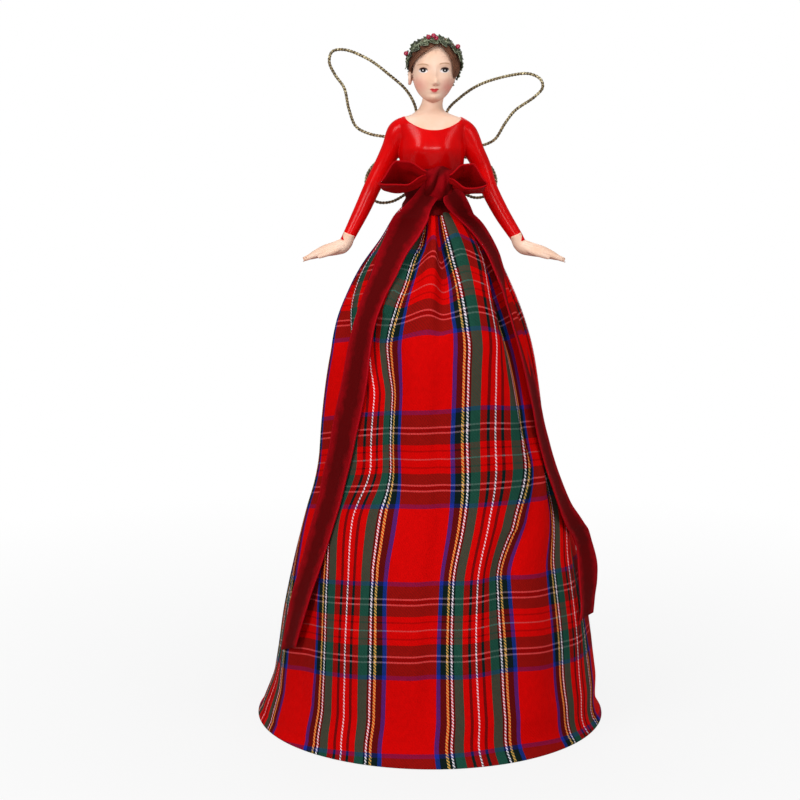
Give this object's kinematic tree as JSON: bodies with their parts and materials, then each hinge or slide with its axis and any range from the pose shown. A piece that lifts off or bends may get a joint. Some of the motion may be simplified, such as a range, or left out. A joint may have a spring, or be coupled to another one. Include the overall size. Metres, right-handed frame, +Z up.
{
  "type": "tree topper",
  "caption": "Fairy figure with wire wings, glossy bodice and long gathered tartan skirt over a hollow cone that slips over the tip of a tree, tied with a velvet bow",
  "frame": {"origin": "Centre of the hem circle, on the surface that the topper stands on", "axes": "+Z up along the figure, the front faces -Y, +X to the right as seen from the front"},
  "size_m": [0.1443, 0.1445, 0.2799],
  "materials": {
    "tartan_cloth": "woven tartan, mostly red with green, blue, yellow, white and black lines",
    "velvet": "dark red velvet ribbon with a bright pile edge",
    "red_paint": "glossy red paint on cast resin",
    "skin_paint": "satin painted cast resin",
    "hair_paint": "brown painted, sculpted strands",
    "leaf_paint": "grey-green paint with light dry-brushed edges",
    "berry_paint": "glossy berry red paint",
    "metallic_wire": "iron wire wound with gold and black metallic thread",
    "steel_wire": "plain bright wire",
    "card": "plain greyboard",
    "moulded_plug": "plain off-white moulding",
    "dowel_wood": "bare turned dowel"
  },
  "bodies": {
    "figure": {"cone_former": "card", "cone_plug": "moulded_plug", "torso_dowel": "dowel_wood", "hem_hoop": "steel_wire", "skirt": "tartan_cloth", "bodice": "red_paint", "sleeve_left": "red_paint", "sleeve_right": "red_paint", "head": "skin_paint", "hand_left": "skin_paint", "hand_right": "skin_paint", "hair": "hair_paint", "wreath": "leaf_paint", "berry_1": "berry_paint", "berry_2": "berry_paint", "berry_3": "berry_paint", "berry_4": "berry_paint", "berry_5": "berry_paint", "wing_staple": "steel_wire", "waist_sash": "velvet", "bow_knot": "velvet", "bow_loop_left": "velvet", "bow_loop_right": "velvet"},
    "upper_left_wing": {"wing_upper_left": "metallic_wire"},
    "upper_right_wing": {"wing_upper_right": "metallic_wire"},
    "lower_left_wing": {"wing_lower_left": "metallic_wire"},
    "lower_right_wing": {"wing_lower_right": "metallic_wire"},
    "left_tail": {"ribbon_tail_left": "velvet"},
    "right_tail": {"ribbon_tail_right": "velvet"}
  },
  "joints": [
    {"name": "upper_left_wing_bend", "type": "hinge", "parent": "figure", "child": "upper_left_wing", "pos_m": [0.0004, 0.012, 0.2405], "axis": [0, 0, -1], "range_deg": [-10, 60]},
    {"name": "upper_right_wing_bend", "type": "hinge", "parent": "figure", "child": "upper_right_wing", "pos_m": [0.0004, 0.012, 0.238], "axis": [0, 0, 1], "range_deg": [-10, 60]},
    {"name": "lower_left_wing_bend", "type": "hinge", "parent": "figure", "child": "lower_left_wing", "pos_m": [0.0004, 0.012, 0.2315], "axis": [0, 0, -1], "range_deg": [-8, 60]},
    {"name": "lower_right_wing_bend", "type": "hinge", "parent": "figure", "child": "lower_right_wing", "pos_m": [0.0004, 0.012, 0.2295], "axis": [0, 0, 1], "range_deg": [-8, 60]},
    {"name": "left_tail_lift", "type": "hinge", "parent": "figure", "child": "left_tail", "pos_m": [-0.0036, -0.01405, 0.215], "axis": [-0.9823, 0.1871, 0], "range_deg": [0, 20]},
    {"name": "right_tail_lift", "type": "hinge", "parent": "figure", "child": "right_tail", "pos_m": [0.0064, -0.0135, 0.215], "axis": [-0.9191, -0.394, 0], "range_deg": [0, 20]}
  ]
}
